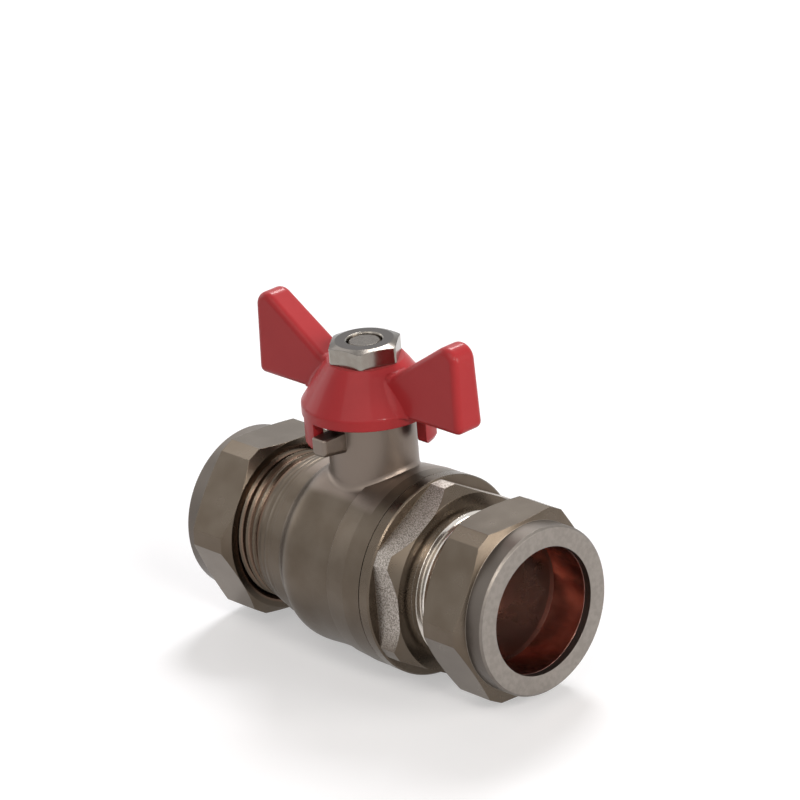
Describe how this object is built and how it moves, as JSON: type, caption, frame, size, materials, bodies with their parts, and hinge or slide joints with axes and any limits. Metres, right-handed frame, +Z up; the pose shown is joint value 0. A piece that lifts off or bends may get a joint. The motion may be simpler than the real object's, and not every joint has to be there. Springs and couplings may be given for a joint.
{
  "type": "isolating valve",
  "caption": "Quarter turn ball isolating valve for 22 mm pipe, with compression nuts and olives at both ends and a red butterfly handle held by a hexagon nut.",
  "frame": {"origin": "bottom centre of the bounding box: on the ground under the middle of the valve's length, below the pipe axis", "axes": "+X along the pipe axis towards the end connector, +Y across to the side away from the stop lug, +Z up along the stem"},
  "size_m": [0.0726, 0.035, 0.061],
  "materials": {
    "plated_brass": "satin nickel plate",
    "raw_brass": "turned",
    "chromed_ball": "polished",
    "olive_copper": "soft copper alloy, bright",
    "seat_ptfe": "waxy white",
    "rubber": "matt",
    "red_coat": "gloss coated casting"
  },
  "bodies": {
    "valve": {"valve_body": "plated_brass", "end_connector": "plated_brass", "connector_seal": "rubber", "seat_rear": "seat_ptfe", "seat_front": "seat_ptfe", "stem_thrust_washer": "seat_ptfe"},
    "handle": {"handle": "red_coat", "handle_nut": "plated_brass", "stem": "raw_brass", "stem_o_ring_lower": "rubber", "stem_o_ring_upper": "rubber", "ball": "chromed_ball"},
    "olive_front": {"olive_front": "olive_copper"},
    "nut_front": {"compression_nut_front": "plated_brass"},
    "olive_rear": {"olive_rear": "olive_copper"},
    "nut_rear": {"compression_nut_rear": "plated_brass"}
  },
  "joints": [
    {"name": "handle_turn", "type": "hinge", "parent": "valve", "child": "handle", "pos_m": [-0.00233, 0, 0.0175], "axis": [0, 0, -1], "range_deg": [0, 90]},
    {"name": "front_nut_travel", "type": "slide", "parent": "valve", "child": "olive_front", "axis": [1, 0, 0], "range_m": [0, 0.0055]},
    {"name": "front_nut_turn", "type": "hinge", "parent": "olive_front", "child": "nut_front", "pos_m": [0.03, 0, 0.0175], "axis": [1, 0, 0], "range_deg": [0, 1080]},
    {"name": "rear_nut_travel", "type": "slide", "parent": "valve", "child": "olive_rear", "axis": [-1, 0, 0], "range_m": [0, 0.0055]},
    {"name": "rear_nut_turn", "type": "hinge", "parent": "olive_rear", "child": "nut_rear", "pos_m": [-0.03, 0, 0.0175], "axis": [-1, 0, 0], "range_deg": [0, 1080]}
  ],
  "couplings": [
    {"joint": "front_nut_travel", "follows": "front_nut_turn", "m_per_rad": 0.00028871},
    {"joint": "rear_nut_travel", "follows": "rear_nut_turn", "m_per_rad": 0.00028871}
  ]
}
